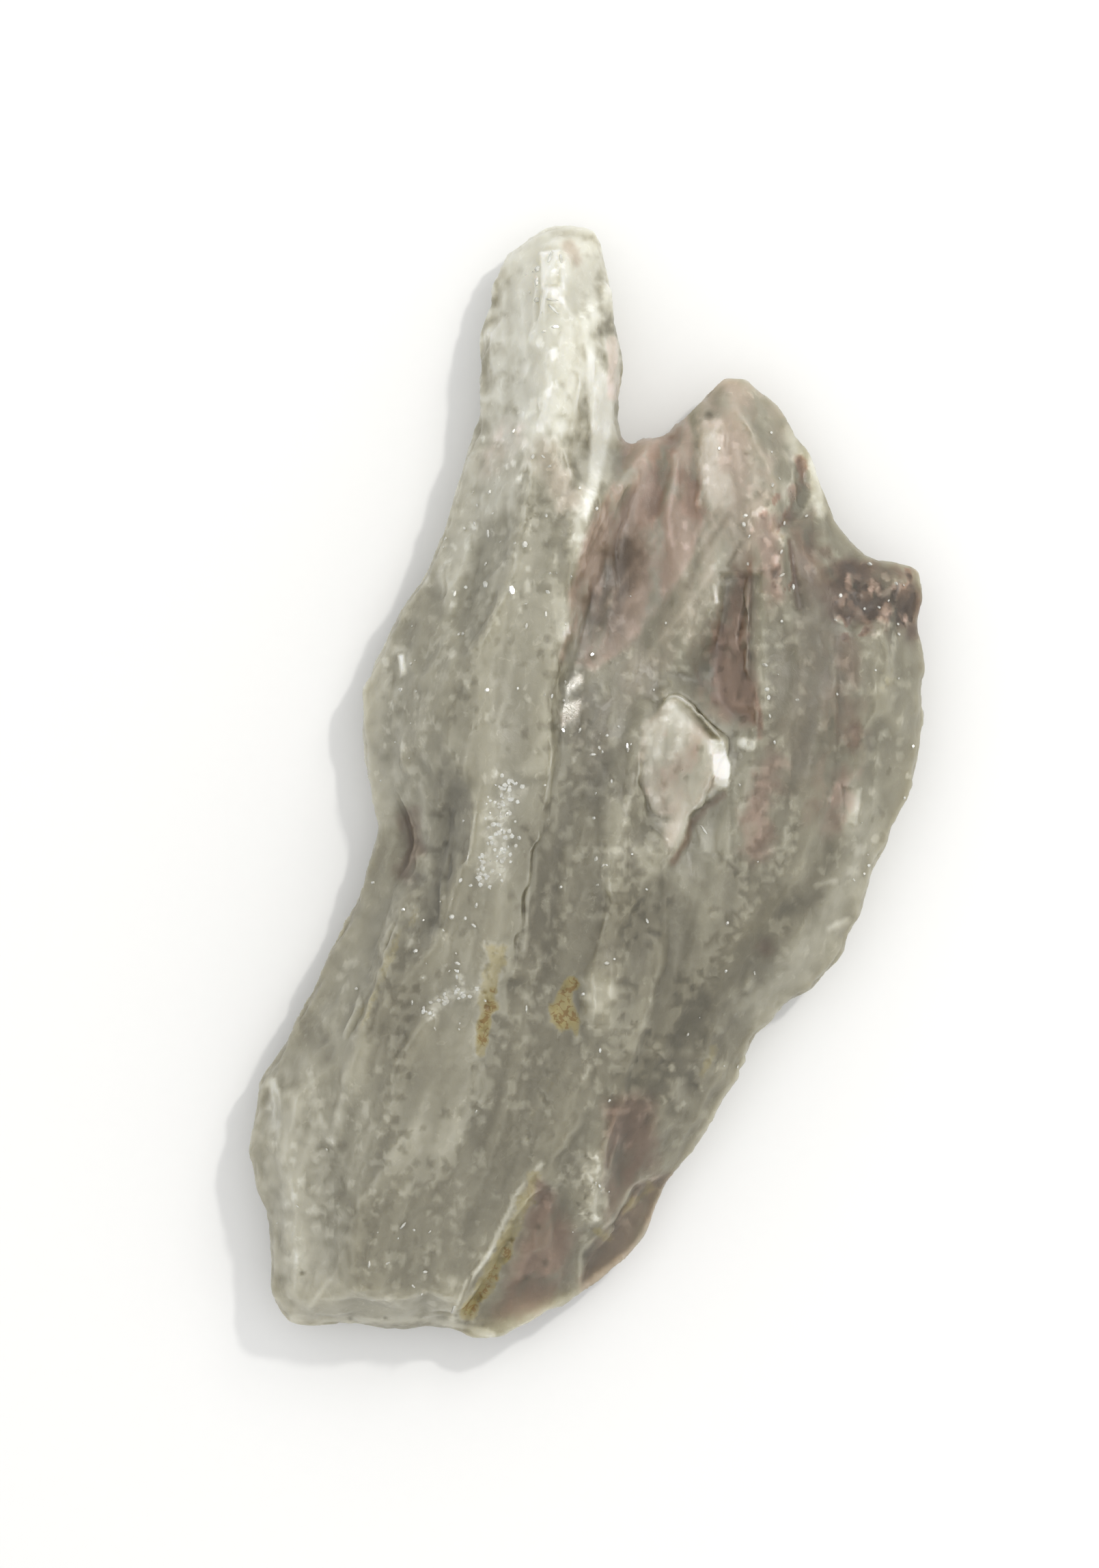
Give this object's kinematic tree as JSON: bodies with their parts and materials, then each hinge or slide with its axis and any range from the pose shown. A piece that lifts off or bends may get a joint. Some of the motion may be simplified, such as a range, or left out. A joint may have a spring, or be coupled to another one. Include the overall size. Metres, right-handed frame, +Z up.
{
  "type": "rough prasiolite",
  "caption": "Rough, pale grey-green prasiolite: a flat, clouded fragment of quartz crystals grown side by side, with long blades, free tips, ledges and druse.",
  "frame": {"origin": "on the surface that the stone lies on, below the middle of its bounding box", "axes": "+Y along the crystals towards their free tips, +X across the plate, +Z up from the resting surface"},
  "size_m": [0.0472, 0.078, 0.0138],
  "materials": {
    "prasiolite": "clouded, see-through quartz with a satin, wet-looking broken surface"
  },
  "bodies": {
    "root": {"prasiolite": "prasiolite"}
  },
  "joints": []
}
